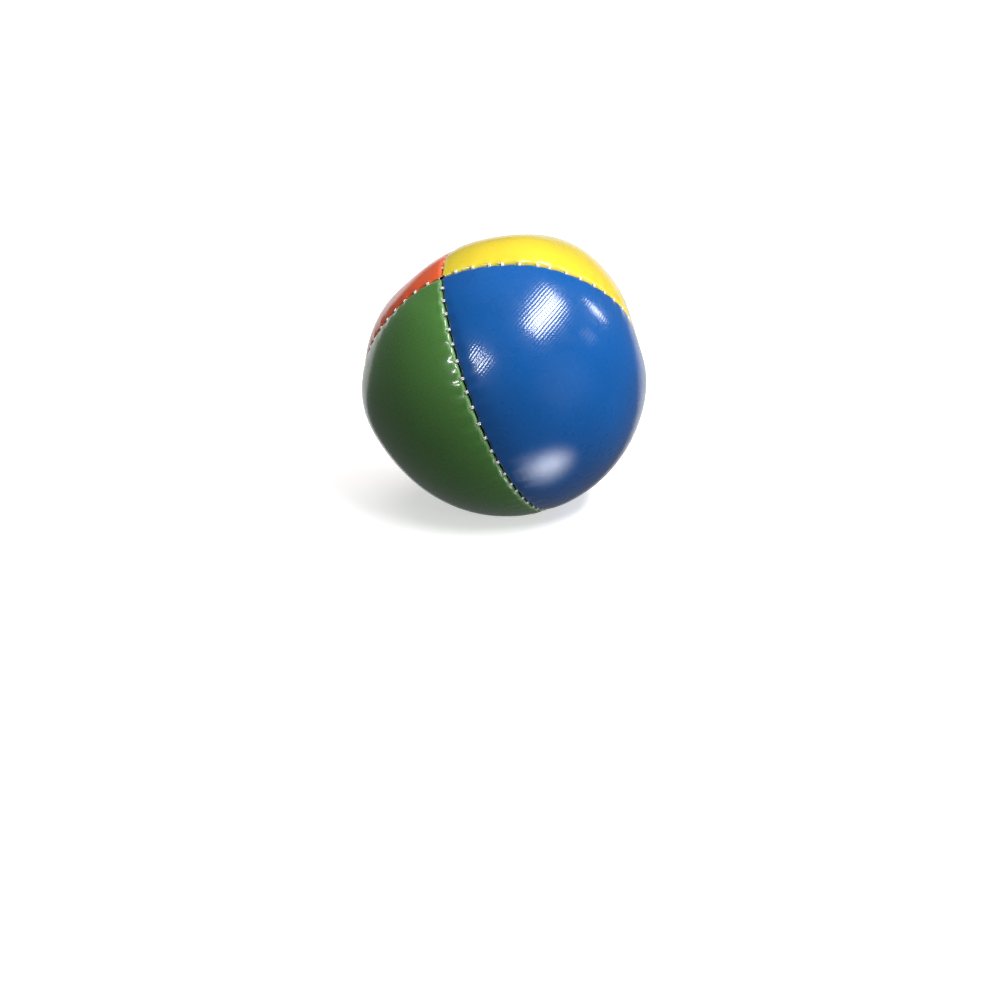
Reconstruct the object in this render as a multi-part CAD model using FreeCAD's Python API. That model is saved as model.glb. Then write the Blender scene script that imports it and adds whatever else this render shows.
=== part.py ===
import FreeCAD, Part
import math
import os
from FreeCAD import Placement, Rotation, Vector

# A stuffed juggling ball: four pointed panels of coated cloth, machine sewn inside out, turned,
# filled with millet through a gap in one seam, and closed by hand. It rests on a small flat foot
# that its own weight presses into the green panel.
# Row frame: millimetres, +Z up, origin at the centre of the foot.

# ---- driving dimensions, mm and degrees ----
BALL_DIAMETER = 65.0        # over the cover, away from the foot
FOOT_SINK = 1.9             # how far the filling settles where the ball rests
FOOT_BLEND = 12.0           # radius between the flat foot and the round side
COVER = 0.8                 # coated cloth
SEAM_ALLOWANCE = 5.0        # how far each seam's two layers reach inwards
SEAM_ROLL = 1.2             # radius of the cover where it rolls into a seam
LAYER_GAP = 0.05            # half of the space between the two layers of a seam
TIP_CLIP = 2.6              # the pair seams' layers are clipped this far from the poles
THREAD = 0.44               # bonded polyester thread
THREAD_SIDES = 6            # its round section is a polygon of the same area
HOLE = 1.2                  # needle hole, opened by the thread that is pulled through it
STITCH_DEPTH = 2.2          # stitch line below the ball's surface
STITCHES_ROUND = 62         # stitches in one whole great circle
OPENING_FIRST = 42          # first and last stitch of the hand-sewn filling opening,
OPENING_LAST = 51           # counted round the joining seam from the upper pole
KNOT = 1.3                  # knot at each end of the hand-sewn thread
MACHINE_TAIL = 0.3          # thread left past the last machine stitch, in stitches
HAND_TAIL = 0.35            # and past the last hand stitch, up to its knot
CLEARANCE = 0.1             # between the filling and what surrounds it

# The upper pole, where the four points meet: its lean from vertical, its heading, and the turn
# of the panels about it.
POLE_LEAN = 42.35
POLE_HEADING = -127.4
PANEL_TURN = 32.3

# ---- worked out from them ----
RADIUS = BALL_DIAMETER / 2
CENTRE_HEIGHT = RADIUS - FOOT_SINK
REACH = RADIUS + 5          # half-size of the boxes that cut the ball
PITCH = 360 / STITCHES_ROUND
STITCH_RADIUS = RADIUS - STITCH_DEPTH
LAYER_FACE = LAYER_GAP + COVER                    # inner face of a seam layer, from the seam plane
THREAD_ON_FACE = LAYER_FACE + THREAD / 2 + 0.06   # a thread's centre line where it lies on that face
THREAD_IN_SEAM = THREAD / 2 + 0.06                # and where two threads lock in a hole
DIP_HALF_WIDTH = 0.42                             # half of a thread's dip, along the seam

PANELS = {"panel_blue": (1, 1), "panel_yellow": (-1, 1), "panel_red": (-1, -1), "panel_green": (1, -1)}

# The panel frame has its Z along the upper pole. Its XZ plane holds the joining seam of the two
# halves, and its YZ plane holds the two pair seams.
panel_frame = Placement(
    Vector(0, 0, CENTRE_HEIGHT),
    Rotation(Vector(0, 0, 1), POLE_HEADING)
    * Rotation(Vector(0, 1, 0), POLE_LEAN)
    * Rotation(Vector(0, 0, 1), PANEL_TURN),
)


def placed(shape):
    """A shape made in the panel frame, moved to the row frame."""
    moved = shape.copy()
    moved.transformShape(panel_frame.toMatrix())
    return moved


def stuffed_ball(inset):
    """The ball's outline drawn in by inset: a sphere with a flat foot and a rounded edge to it."""
    radius = RADIUS - inset
    blend = FOOT_BLEND - inset
    foot_depth = CENTRE_HEIGHT - inset
    blend_depth = foot_depth - blend
    foot_radius = math.sqrt((radius - blend) ** 2 - blend_depth ** 2)
    lean = math.atan2(foot_radius, blend_depth)

    def point(across, down):
        return Vector(across, 0, CENTRE_HEIGHT - down)

    def on_blend(angle):
        return point(foot_radius + blend * math.sin(angle), blend_depth + blend * math.cos(angle))

    top = point(0, -radius)
    side = point(radius, 0)
    edges = [
        Part.LineSegment(point(0, foot_depth), point(foot_radius, foot_depth)),
        Part.Arc(point(foot_radius, foot_depth), on_blend(lean / 2), on_blend(lean)),
        Part.Arc(on_blend(lean), side, top),
        Part.LineSegment(top, point(0, foot_depth)),
    ]
    profile = Part.Face(Part.Wire([edge.toShape() for edge in edges]))
    return profile.revolve(Vector(0, 0, 0), Vector(0, 0, 1), 360)


def box_between(low, high, signs):
    """A box in the panel frame, between two corners given for the blue panel and mirrored by signs."""
    xs = sorted((low[0] * signs[0], high[0] * signs[0]))
    ys = sorted((low[1] * signs[1], high[1] * signs[1]))
    corner = Vector(xs[0], ys[0], -REACH)
    return placed(Part.makeBox(xs[1] - xs[0], ys[1] - ys[0], 2 * REACH, corner))


def ring_point(ring, stitch, radius, offset):
    """A point on a seam's great circle, counted in stitches from the upper pole, offset from its plane."""
    angle = math.radians(stitch * PITCH)
    along = radius * math.sin(angle)
    up = radius * math.cos(angle)
    if ring == "joining":
        return Vector(along, offset, up)
    return Vector(offset, along, up)


def needle_holes():
    """Every needle hole, as pins through both layers of each seam, with none at the two poles."""
    pins = []
    pole_stitches = (0, STITCHES_ROUND // 2)
    length = 2 * LAYER_FACE + 2
    for ring in ("joining", "pair"):
        for stitch in range(STITCHES_ROUND):
            if stitch in pole_stitches:
                continue
            start = ring_point(ring, stitch, STITCH_RADIUS, -length / 2)
            end = ring_point(ring, stitch, STITCH_RADIUS, length / 2)
            pins.append(Part.makeCylinder(HOLE / 2, length, start, end - start))
    return placed(Part.Compound(pins))


def panel(signs, holes):
    """One panel: its outer skin and the seam layer along each of its two long edges."""
    whole = box_between((LAYER_GAP, LAYER_GAP), (REACH, REACH), signs)
    joining_layer = box_between((-REACH, -REACH), (REACH, LAYER_FACE), signs)
    pair_layer = box_between((-REACH, TIP_CLIP), (LAYER_FACE, REACH), signs)
    core = Part.makeSphere(RADIUS - SEAM_ALLOWANCE, Vector(0, 0, CENTRE_HEIGHT))
    layers = joining_layer.fuse(pair_layer).cut(core)
    hollow = stuffed_ball(COVER).cut(layers)
    wedge = stuffed_ball(0).common(whole)
    wedge = rolled_edges(wedge)
    return wedge.cut(hollow).cut(holes).Solids[0]


def rolled_edges(wedge):
    """Rounds the two long outer edges, where the cloth rolls over into its seams."""
    centre = Vector(0, 0, CENTRE_HEIGHT)
    seam_edges = []
    for edge in wedge.Edges:
        middle = edge.valueAt((edge.FirstParameter + edge.LastParameter) / 2)
        local = panel_frame.inverse().multVec(middle)
        beside_seam = min(abs(local.x), abs(local.y)) < LAYER_GAP * 2
        if beside_seam and (middle - centre).Length > RADIUS - 2 * FOOT_SINK:
            seam_edges.append(edge)
    return wedge.makeFillet(SEAM_ROLL, seam_edges)


def rounded_path(points, largest):
    """Straight runs through the points, joined by tangent arcs no larger than the runs allow."""
    edges = []
    start = points[0]
    for before, corner, after in zip(points, points[1:], points[2:]):
        to_corner = corner - before
        from_corner = after - corner
        turn = to_corner.getAngle(from_corner)
        trim = 0.45 * min(to_corner.Length, from_corner.Length)
        trim = min(trim, largest * math.tan(turn / 2))
        arc_start = corner - to_corner.normalize() * trim
        arc_end = corner + from_corner.normalize() * trim
        inward = (arc_start + arc_end) * 0.5 - corner
        radius = trim / math.tan(turn / 2)
        reach = radius / math.cos(turn / 2) - radius
        middle = corner + inward.normalize() * reach
        edges.append(Part.LineSegment(start, arc_start).toShape())
        edges.append(Part.Arc(arc_start, middle, arc_end).toShape())
        start = arc_end
    edges.append(Part.LineSegment(start, points[-1]).toShape())
    return Part.Wire(edges)


def tube(points, largest):
    """A thread along a rounded path."""
    path = rounded_path(points, largest)
    heading = (points[1] - points[0]).normalize()
    across = heading.cross(points[0]).normalize()
    over = heading.cross(across)
    step = 2 * math.pi / THREAD_SIDES
    reach = THREAD / 2 * math.sqrt(step / math.sin(step))
    corners = []
    for side in range(THREAD_SIDES + 1):
        angle = side * step
        corners.append(points[0] + across * (reach * math.cos(angle)) + over * (reach * math.sin(angle)))
    return path.makePipeShell([Part.makePolygon(corners)], True, False)


def machine_thread(ring, side, first, last):
    """One thread of a lockstitch: it lies on its own side's layer and dips into each hole to lock."""
    pole_stitches = (0, STITCHES_ROUND // 2, STITCHES_ROUND)
    dip = DIP_HALF_WIDTH / (math.radians(PITCH) * STITCH_RADIUS)
    face = side * THREAD_ON_FACE
    points = [ring_point(ring, first - MACHINE_TAIL, STITCH_RADIUS, face)]
    for stitch in range(first, last + 1):
        if stitch % STITCHES_ROUND in pole_stitches:
            points.append(ring_point(ring, stitch, STITCH_RADIUS, face))
            continue
        points.append(ring_point(ring, stitch - dip, STITCH_RADIUS, face))
        points.append(ring_point(ring, stitch, STITCH_RADIUS, side * THREAD_IN_SEAM))
        points.append(ring_point(ring, stitch + dip, STITCH_RADIUS, face))
    points.append(ring_point(ring, last + MACHINE_TAIL, STITCH_RADIUS, face))
    return placed(tube(points, THREAD))


def closing_path():
    """The hand-sewn thread's route, which crosses the seam at every hole of the opening."""
    side = 1
    points = [ring_point("joining", OPENING_FIRST - HAND_TAIL, STITCH_RADIUS, THREAD_ON_FACE)]
    for stitch in range(OPENING_FIRST, OPENING_LAST + 1):
        points.append(ring_point("joining", stitch, STITCH_RADIUS, side * THREAD_ON_FACE))
        side = -side
        points.append(ring_point("joining", stitch, STITCH_RADIUS, side * THREAD_ON_FACE))
    points.append(ring_point("joining", OPENING_LAST + HAND_TAIL, STITCH_RADIUS, side * THREAD_ON_FACE))
    return points


def knots(size):
    """A ball for each end of the hand-sewn thread, beside the seam layer that the end lies on."""
    path = closing_path()
    balls = []
    for end in (path[0], path[-1]):
        away = Vector(0, math.copysign((KNOT - THREAD) / 2, end.y), 0)
        balls.append(Part.makeSphere(size / 2, end + away))
    return balls


def closing_thread():
    """The hand-sewn thread with a knot at each end."""
    return placed(tube(closing_path(), THREAD).fuse(knots(KNOT)))


def filling():
    """The millet, which fills the cover between the seam layers."""
    half_width = THREAD_ON_FACE + THREAD / 2 + CLEARANCE
    inner = Part.makeSphere(RADIUS - SEAM_ALLOWANCE - CLEARANCE, Vector(0, 0, CENTRE_HEIGHT))
    both = (1, 1)
    joining = box_between((-REACH, -half_width), (REACH, half_width), both)
    pair = box_between((-half_width, -REACH), (half_width, REACH), both)
    grooves = joining.fuse(pair).cut(inner)
    pockets = placed(Part.Compound(knots(KNOT + 2 * CLEARANCE)))
    return stuffed_ball(COVER + CLEARANCE).cut(grooves).cut(pockets).Solids[0]


def export(node, shape):
    shape.exportStep("parts/" + node + ".step")
    print(node, "volume", round(shape.Volume, 2), "mm3, solids", len(shape.Solids), "valid", shape.isValid())


os.makedirs("parts", exist_ok=True)
holes = needle_holes()
for node, signs in PANELS.items():
    export(node, panel(signs, holes))

half_round = STITCHES_ROUND // 2
SEAM_THREADS = {
    "blue_yellow": ("pair", 1, half_round - 1),
    "red_green": ("pair", half_round + 1, STITCHES_ROUND - 1),
    "halves": ("joining", OPENING_LAST + 1, OPENING_FIRST - 1 + STITCHES_ROUND),
}
for seam, (ring, first, last) in SEAM_THREADS.items():
    export("needle_thread_" + seam, machine_thread(ring, 1, first, last))
    export("bobbin_thread_" + seam, machine_thread(ring, -1, first, last))
export("closing_thread", closing_thread())
export("filling", filling())
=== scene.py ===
import math

import bpy
import numpy as np
from mathutils import Euler, Matrix, Vector


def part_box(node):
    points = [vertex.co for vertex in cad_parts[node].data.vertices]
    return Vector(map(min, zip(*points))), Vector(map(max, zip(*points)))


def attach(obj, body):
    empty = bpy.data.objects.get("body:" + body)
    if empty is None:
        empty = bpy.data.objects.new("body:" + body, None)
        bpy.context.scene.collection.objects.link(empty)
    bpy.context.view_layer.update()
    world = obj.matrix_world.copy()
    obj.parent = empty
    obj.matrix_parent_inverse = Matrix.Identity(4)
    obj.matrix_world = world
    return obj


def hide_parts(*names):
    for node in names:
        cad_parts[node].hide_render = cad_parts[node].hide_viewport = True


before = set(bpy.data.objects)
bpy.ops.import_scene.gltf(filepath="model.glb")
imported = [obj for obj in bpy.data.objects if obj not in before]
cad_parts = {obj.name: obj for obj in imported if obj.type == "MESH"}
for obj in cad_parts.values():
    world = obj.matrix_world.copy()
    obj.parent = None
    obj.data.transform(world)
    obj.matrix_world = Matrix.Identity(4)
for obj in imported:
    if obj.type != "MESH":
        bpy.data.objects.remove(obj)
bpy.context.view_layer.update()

# ---- The four panels ----
# Each panel is one pointed leaf of woven polyester with a glossy PVC face, 0.8 mm thick, cut with a
# 5 mm seam allowance that turns inwards at both edges. Four are lockstitched edge to edge from the
# wrong side, turned out, and stuffed hard with seed. Lengths are in millimetres from here on.
MM = 0.001
CLOTH = 0.8
FILL_CLEARANCE = 0.1
fill_low, fill_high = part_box("filling")
RADIUS = (fill_high[0] - fill_low[0]) / 2 / MM + CLOTH + FILL_CLEARANCE
CENTRE_HEIGHT = fill_high[2] / MM - (RADIUS - CLOTH - FILL_CLEARANCE)
POLE_LEAN = 42.35         # degrees, of the line from pole to pole, from upright
POLE_HEADING = -127.4     # degrees, the way that the upper pole leans
PANEL_TURN = 32.3         # degrees, of the panels about that line

# The stuffed shape: held by its seams and pressed out by the seed, the cloth domes between them.
# The seed also settles into soft bulges and flats, and into the flat foot that the ball rests on.
CROWN = 0.45              # how far a panel's middle stands above its seams
FOOT_SOFTNESS = 1.6       # the foot's edge is rounded where ball and floor are nearer than this
# each bulge's or flat's heading and elevation in degrees, its height, and its spread in degrees
BULGES = {
    "right shoulder": (1, 62, 0.85, 17),
    "right flat": (-6, 20, -1.2, 13),
    "left shoulder flat": (181, 53, -2.0, 20),
    "top flat": (150, 84, -1.35, 17),
    "left belly": (192, -10, 1.1, 17),
    "upper pole": (-127, 48, 0.9, 20),
    "front shoulder": (-68, 66, 1.1, 15),
    "front belly": (-70, 5, 0.3, 24),
    "left front flat": (-150, 25, -0.3, 22),
    "back right": (60, 25, 0.5, 26),
    "back left flat": (120, 10, -0.5, 24),
    "low right": (20, -35, 0.5, 22),
    "low back": (140, -40, 0.4, 25),
}


def turn_about(axis, degrees):
    """A rotation matrix about X, Y or Z."""
    cos, sin = math.cos(math.radians(degrees)), math.sin(math.radians(degrees))
    first, second = [i for i in range(3) if i != axis]
    sign = -1 if axis == 1 else 1
    matrix = np.eye(3)
    matrix[first, first] = matrix[second, second] = cos
    matrix[first, second] = -sin * sign
    matrix[second, first] = sin * sign
    return matrix


panel_axes = turn_about(2, POLE_HEADING) @ turn_about(1, POLE_LEAN) @ turn_about(2, PANEL_TURN)


def direction(theta, phi):
    """Unit vectors in the panel frame, from the angle to the upper pole and the angle round it."""
    return np.stack((np.sin(theta) * np.cos(phi), np.sin(theta) * np.sin(phi), np.cos(theta)), axis=-1)


def to_row(points):
    """Points in millimetres from the ball's centre, in the panel frame, as metres in the row frame."""
    return (points @ panel_axes.T + (0, 0, CENTRE_HEIGHT)) * MM


def new_object(name, points, faces, edges=()):
    mesh = bpy.data.meshes.new(name)
    mesh.from_pydata([tuple(p) for p in points], list(edges), faces)
    mesh.update()
    made = bpy.data.objects.new(name, mesh)
    bpy.context.scene.collection.objects.link(made)
    return made


PASS_ROWS = 36            # the cloth pass's mesh: rows from pole to pole, and columns to a panel
PASS_COLUMNS = 12
PASS_SCALE = 10           # it is run ten times life size, where the solver's steps are well behaved
PASS_START = 0.96         # its radius before the pressure, as a share of the ball's
PASS_STEPS = 20
MOST_RISE = 6             # and no point may rise further than this


def cloth_dome():
    """How far pressure lifts the cloth above its held seams, on a grid for each panel."""
    theta = np.linspace(0, math.pi, PASS_ROWS + 1)
    phi = np.arange(4 * PASS_COLUMNS) * math.pi / 2 / PASS_COLUMNS
    start_radius = PASS_START * RADIUS * MM * PASS_SCALE
    rings = direction(*np.meshgrid(theta[1:-1], phi, indexing="ij")).reshape(-1, 3) * start_radius
    points = np.vstack((rings, [[0, 0, start_radius], [0, 0, -start_radius]]))
    around = len(phi)
    top, bottom = len(rings), len(rings) + 1
    faces = []
    for column in range(around):
        beside = (column + 1) % around
        faces.append((top, column, beside))
        for row in range(PASS_ROWS - 2):
            upper, lower = row * around, (row + 1) * around
            faces.append((upper + column, lower + column, lower + beside, upper + beside))
        last = (PASS_ROWS - 2) * around
        faces.append((bottom, last + beside, last + column))
    ball = new_object("cloth_pass", points, faces)
    seams = ball.vertex_groups.new(name="seams")
    seam_points = [i for i in range(top) if i % around % PASS_COLUMNS == 0]
    seams.add(seam_points + [top, bottom], 1.0, "REPLACE")
    modifier = ball.modifiers.new("Cloth", "CLOTH")
    cloth = modifier.settings
    cloth.quality = 8
    cloth.mass = 0.4
    cloth.tension_stiffness = 60
    cloth.compression_stiffness = 20
    cloth.shear_stiffness = 20
    cloth.bending_stiffness = 8
    cloth.use_pressure = True
    cloth.uniform_pressure_force = 4
    cloth.vertex_group_mass = "seams"
    cloth.effector_weights.gravity = 0
    for step in range(1, PASS_STEPS + 1):
        bpy.context.scene.frame_set(step)
    relaxed = ball.evaluated_get(bpy.context.evaluated_depsgraph_get()).to_mesh()
    stretched = np.array([v.co for v in relaxed.vertices])
    ball.to_mesh_clear()
    bpy.context.scene.frame_set(1)
    bpy.data.objects.remove(ball)
    rise = (np.linalg.norm(stretched, axis=1) - start_radius) / MM / PASS_SCALE
    rise = np.clip(rise, 0, MOST_RISE)
    ring_rise = rise[:top].reshape(PASS_ROWS - 1, around)
    # scaled so that all but the highest two in a hundred stand no more than the crown above the seams
    ring_rise *= CROWN / np.percentile(ring_rise, 98)
    whole = np.zeros((PASS_ROWS + 1, around))
    whole[1:-1] = ring_rise
    columns = [(np.arange(PASS_COLUMNS + 1) + panel * PASS_COLUMNS) % around for panel in range(4)]
    return [whole[:, chosen] for chosen in columns]


dome = cloth_dome()


def smooth_sample(grid, row, column):
    """A value between a grid's points, by cubic B-splines that keep the grid's edges."""
    padded = np.pad(grid, 1, mode="edge")
    padded[0], padded[-1] = 2 * padded[1] - padded[2], 2 * padded[-2] - padded[-3]
    padded[:, 0], padded[:, -1] = 2 * padded[:, 1] - padded[:, 2], 2 * padded[:, -2] - padded[:, -3]
    row = np.clip(row, 0, grid.shape[0] - 1.000001)
    column = np.clip(column, 0, grid.shape[1] - 1.000001)

    def weights(place):
        t = place - np.floor(place)
        return ((1 - t) ** 3 / 6, (3 * t ** 3 - 6 * t ** 2 + 4) / 6,
                (-3 * t ** 3 + 3 * t ** 2 + 3 * t + 1) / 6, t ** 3 / 6)

    first_row, first_column = np.floor(row).astype(int), np.floor(column).astype(int)
    total = np.zeros(np.broadcast(row, column).shape)
    for i, row_weight in enumerate(weights(row)):
        for j, column_weight in enumerate(weights(column)):
            total += row_weight * column_weight * padded[first_row + i, first_column + j]
    return total


def stuffed_radius(panel, theta, phi):
    """The cover's outer radius in a direction, before its seams are pulled in."""
    column = (phi - panel * math.pi / 2) / (math.pi / 2) * PASS_COLUMNS
    radius = RADIUS - CROWN + smooth_sample(dome[panel], theta / math.pi * PASS_ROWS, column)
    outward = direction(theta, phi) @ panel_axes.T
    for heading, elevation, height, spread in BULGES.values():
        place = Euler((0, -math.radians(elevation), math.radians(heading))).to_matrix() @ Vector((1, 0, 0))
        angle = np.degrees(np.arccos(np.clip(outward @ np.array(place), -1, 1)))
        radius = radius + height * np.exp(-(angle / spread) ** 2)
    least_drop = 0.05     # keeps the floor's distance finite for directions that never reach it
    floor_radius = CENTRE_HEIGHT / np.maximum(-outward[..., 2], least_drop)
    overlap = np.maximum(FOOT_SOFTNESS - np.abs(radius - floor_radius), 0)
    return np.minimum(radius, floor_radius) - overlap ** 2 / (4 * FOOT_SOFTNESS)


# The seams: turned out and stuffed, the two edges of a seam roll over a small radius into it, meet
# at each stitch, stand a little open between stitches, and pucker. Seams are counted round from the
# green and blue one, and seam n lies before panel n.
STITCHES = 31             # from pole to pole
STITCH_PITCH = math.pi / STITCHES
STITCH_WANDER = 0.085     # how unevenly they are spaced, in stitches
PULL_SPREAD = 0.22        # and how unevenly they are pulled
STITCH_SHARPNESS = 1.6    # how short the drawn-in place at a stitch is
ROLL_RADIUS = 0.8
ROLL_SHARE = 0.24         # at the points, the roll's radius and the gap as shares of a panel's width
GAP_SHARE = 0.10
SEAM_CLOSED = 0.03        # half of the space between the edges at a stitch
SEAM_OPEN = 0.11          # and half-way between stitches
VALLEY_DEPTH = 0.09
VALLEY_WIDTH = 1.8
STITCH_DIP = 0.03
STITCH_DIP_WIDTH = 1.1
PUCKER_HEIGHT = 0.014
PUCKER_LENGTH = 1.7
POLE_DIMPLE = 0.2
POLE_DIMPLE_WIDTH = 2.2
# between stitches, how far each seam's prouder edge laps over it, towards the next panel
SEAM_LAP = [0.20, 0.16, 0.12, -0.18]
LAP_LIFT = 0.5            # how much that edge rises and the other sinks, as a share of the lap
LAP_WIDTH = 12            # the panel width below which the lap shrinks
# how much deeper a seam's stitches sit; the yellow and red one is pulled tightest
SEAM_TUCK = [0, 0, 0.3, 0]

rng = np.random.default_rng(7)
stitch_angle = []         # for each seam, the angle from the upper pole to every stitch
stitch_pull = []          # and how hard each stitch pulls
for seam in range(4):
    wander = rng.normal(0, STITCH_WANDER, STITCHES + 1)
    wander[[0, -1]] = 0
    stitch_angle.append((np.arange(STITCHES + 1) + wander) * STITCH_PITCH)
    stitch_pull.append(np.clip(rng.normal(1, PULL_SPREAD, STITCHES + 1), 0.5, 1.5))


def stitch_phase(seam, theta):
    """The number of stitches from the upper pole, whole at a stitch."""
    return np.interp(theta, stitch_angle[seam], np.arange(STITCHES + 1))


def tightness(seam, theta):
    """1 at a stitch, 0 half-way between two."""
    return ((1 + np.cos(2 * math.pi * stitch_phase(seam, theta))) / 2) ** STITCH_SHARPNESS


def pull(seam, theta):
    """How hard the nearest stitches pull, about 1."""
    return np.interp(stitch_phase(seam, theta), np.arange(STITCHES + 1), stitch_pull[seam])


def narrowing(theta):
    """A panel's width at a place along it, in millimetres."""
    return RADIUS * np.sin(theta) * math.pi / 2


def roll_radius(theta):
    return np.minimum(ROLL_RADIUS, ROLL_SHARE * narrowing(theta))


def seam_lap(seam, theta):
    """How far the edges' parting line moves to the next panel between stitches."""
    return SEAM_LAP[seam] * (1 - tightness(seam, theta)) * np.minimum(narrowing(theta) / LAP_WIDTH, 1)


def half_gap(seam, theta):
    gap = SEAM_CLOSED + (SEAM_OPEN - SEAM_CLOSED) * (1 - tightness(seam, theta))
    return np.minimum(gap, GAP_SHARE * narrowing(theta))


def seam_relief(seam, theta, away):
    """How far the cover is raised at a distance from a seam's plane, by its valley and puckers."""
    tight = tightness(seam, theta)
    strength = pull(seam, theta)
    phase = stitch_phase(seam, theta)
    valley = -VALLEY_DEPTH * np.exp(-(away / VALLEY_WIDTH) ** 2)
    dip = -STITCH_DIP * strength * tight * np.exp(-(away / STITCH_DIP_WIDTH) ** 2)
    wave = -np.cos(2 * math.pi * phase) + 0.5 * np.sin(math.pi * phase + seam)
    pucker = PUCKER_HEIGHT * strength * wave * np.exp(-away / PUCKER_LENGTH)
    pole_distance = RADIUS * np.minimum(theta, math.pi - theta)
    dimple = -POLE_DIMPLE / 2 * np.exp(-(pole_distance / POLE_DIMPLE_WIDTH) ** 2)
    return valley + dip + pucker + dimple


# The leaf: a skin with its seam allowance standing inwards at each side, coated outside and bare
# weave inside. The cloth is squeezed thinner where it rolls over.
SEAM_ALLOWANCE = 5.0
ROWS_PER_STITCH = 12
SKIN_COLUMNS = 36         # from a rolled edge to the panel's middle
COLUMN_GROWTH = 2.3       # how strongly the columns crowd towards the edge
ROLL_STEPS = 8
ALLOWANCE_STEPS = 4
TIP_ANGLE = math.radians(1.0)
TIP_FOLD = 1.4            # the allowance's depth at the points, in roll radii
FOLD_START = 1.5          # the distance from the pole at which the allowance starts to deepen
FOLD_REACH = 4            # and the distance over which it comes to its full depth
LAP_FADE = 9              # how quickly a lap dies away over the skin
PRESSED = 0.7             # the cloth's thickness where it rolls over, as a share of the roll's radius
WEAVE_PITCH = 0.66        # a little coarser than the real 0.6, which would be too fine to show
UV_UNIT = 100             # millimetres to one unit of the cloth's own coordinates

# each panel's node, slot, colour, and how pale its rolled edge turns: partly strained coat, partly a
# painted highlight on the roll, strongest where the edge faces the light
PANELS = [
    ("panel_blue", "blue_coated_cloth", "#035cab", 0.12),
    ("panel_yellow", "yellow_coated_cloth", "#f5da30", 0.35),
    ("panel_red", "red_coated_cloth", "#fa6026", 0.3),
    ("panel_green", "green_coated_cloth", "#538a3e", 0.85),
]


def panel_half(panel, side, theta):
    """One half of a panel's outer face, from the inner end of its seam allowance to its middle."""
    seam = (panel + side) % 4
    inward = 1 if side == 0 else -1
    gap, roll = half_gap(seam, theta), roll_radius(theta)
    pole_distance = RADIUS * np.minimum(theta, math.pi - theta)
    deepening = np.clip((pole_distance - FOLD_START) / FOLD_REACH, 0, 1)
    allowance = TIP_FOLD * roll + (SEAM_ALLOWANCE - ROLL_RADIUS) * deepening
    away, depth, skin = [], [], []
    for step in range(ALLOWANCE_STEPS):
        share = step / ALLOWANCE_STEPS
        away.append(gap + (SEAM_CLOSED - gap) * (1 - share) * np.minimum(gap / SEAM_CLOSED, 1))
        depth.append(roll + (allowance - roll) * (1 - share) ** 1.5)
        skin.append(np.zeros_like(theta))
    for step in range(ROLL_STEPS):
        angle = math.pi / 2 * (1 - step / ROLL_STEPS)
        away.append(gap + roll * (1 - math.sin(angle)))
        depth.append(roll * (1 - math.cos(angle)))
        skin.append(np.zeros_like(theta))
    for step in range(SKIN_COLUMNS + 1):
        share = math.expm1(COLUMN_GROWTH * step / SKIN_COLUMNS) / math.expm1(COLUMN_GROWTH)
        away.append(gap + roll)
        depth.append(np.zeros_like(theta))
        skin.append(np.full_like(theta, share))
    away, depth, skin = (np.stack(part, axis=1) for part in (away, depth, skin))
    theta = theta[:, None]
    lap = inward * seam_lap(seam, theta)
    away = away + lap * np.exp(-depth / ROLL_RADIUS)
    depth = depth + LAP_LIFT * lap * np.exp(-(skin * LAP_FADE) ** 2)
    edge_turn = np.arcsin(np.clip(away / (RADIUS - depth) / np.sin(theta), -0.3, 0.7))
    turn = edge_turn + (math.pi / 4 - edge_turn) * skin
    phi = (panel + side) * math.pi / 2 + inward * turn
    distance = np.maximum(RADIUS * np.sin(theta) * turn, (gap + roll)[:, None])
    return theta + 0 * phi, phi, depth, distance


def panel_face(panel):
    """The panel's outer face as a grid of points, with its cloth coordinates and seam distance."""
    rows = STITCHES * ROWS_PER_STITCH
    theta = np.linspace(TIP_ANGLE, math.pi - TIP_ANGLE, rows + 1)
    halves = [panel_half(panel, side, theta) for side in (0, 1)]
    theta, phi, depth, distance = (
        np.hstack((first, second[:, -2::-1])) for first, second in zip(*halves)
    )
    seams = (panel, (panel + 1) % 4)
    across = RADIUS * np.sin(theta) * (phi - (panel + 0.5) * math.pi / 2)
    half_width = narrowing(theta) / 2
    far_distance = half_width * 2 - distance
    radius = stuffed_radius(panel, theta, phi) - depth
    radius = radius + seam_relief(seams[0], theta, np.where(across < 0, distance, far_distance))
    radius = radius + seam_relief(seams[1], theta, np.where(across > 0, distance, far_distance))
    points = direction(theta, phi) * radius[..., None]
    # the threads of the cloth run straight across and along the leaf
    turn = phi - (panel + 0.5) * math.pi / 2
    weft = RADIUS * np.arcsin(np.sin(theta) * np.sin(turn)) + np.sign(turn) * depth
    warp = RADIUS * np.arctan2(np.cos(theta), np.sin(theta) * np.cos(turn))
    cloth = np.stack((weft, warp), axis=-1) / UV_UNIT
    return points, cloth, np.minimum(distance, half_width) - depth


def grid_normals(points):
    along = np.gradient(points, axis=0)
    across = np.gradient(points, axis=1)
    normals = np.cross(along, across)
    return normals / np.maximum(np.linalg.norm(normals, axis=-1, keepdims=True), 1e-9)


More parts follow.
